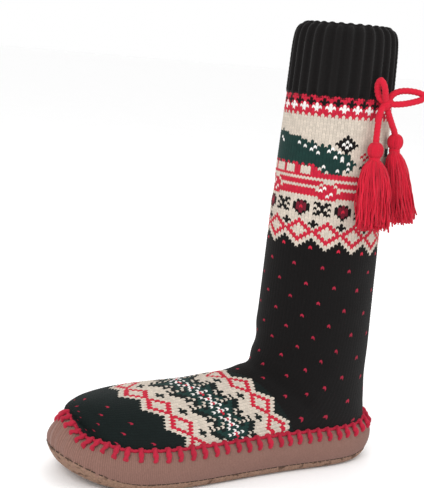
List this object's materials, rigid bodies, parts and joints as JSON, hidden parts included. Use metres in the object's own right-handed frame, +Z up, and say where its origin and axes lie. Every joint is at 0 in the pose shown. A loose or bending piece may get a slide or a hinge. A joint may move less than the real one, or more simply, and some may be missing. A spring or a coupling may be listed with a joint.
{
  "type": "slipper sock",
  "caption": "Tall knitted slipper sock for the left foot, hollow, with a ribbed cuff, a padded sole and a tied cord with tassels.",
  "frame": {"origin": "on the floor, under the middle of the sock's box", "axes": "+Z up, the toe points to -Y, +X is the wearer's left, which is the outer side"},
  "size_m": [0.1056, 0.2651, 0.3266],
  "materials": {
    "suede_sole": "brushed suede-like microfibre with dark speckles",
    "lining": "soft fleece insole",
    "sidewall_knit": "fine stretch knit over foam",
    "knit": "acrylic jacquard knit in black, cream, red and dark green",
    "red_yarn": "soft matt red acrylic yarn"
  },
  "bodies": {
    "root": {"outsole": "suede_sole", "insole": "lining", "sidewall": "sidewall_knit", "knit_upper": "knit", "bow_knot": "red_yarn", "bow_loop_up": "red_yarn", "bow_loop_back": "red_yarn", "cord_front": "red_yarn", "cord_back": "red_yarn", "tassel_front": "red_yarn", "tassel_back": "red_yarn"}
  },
  "joints": []
}
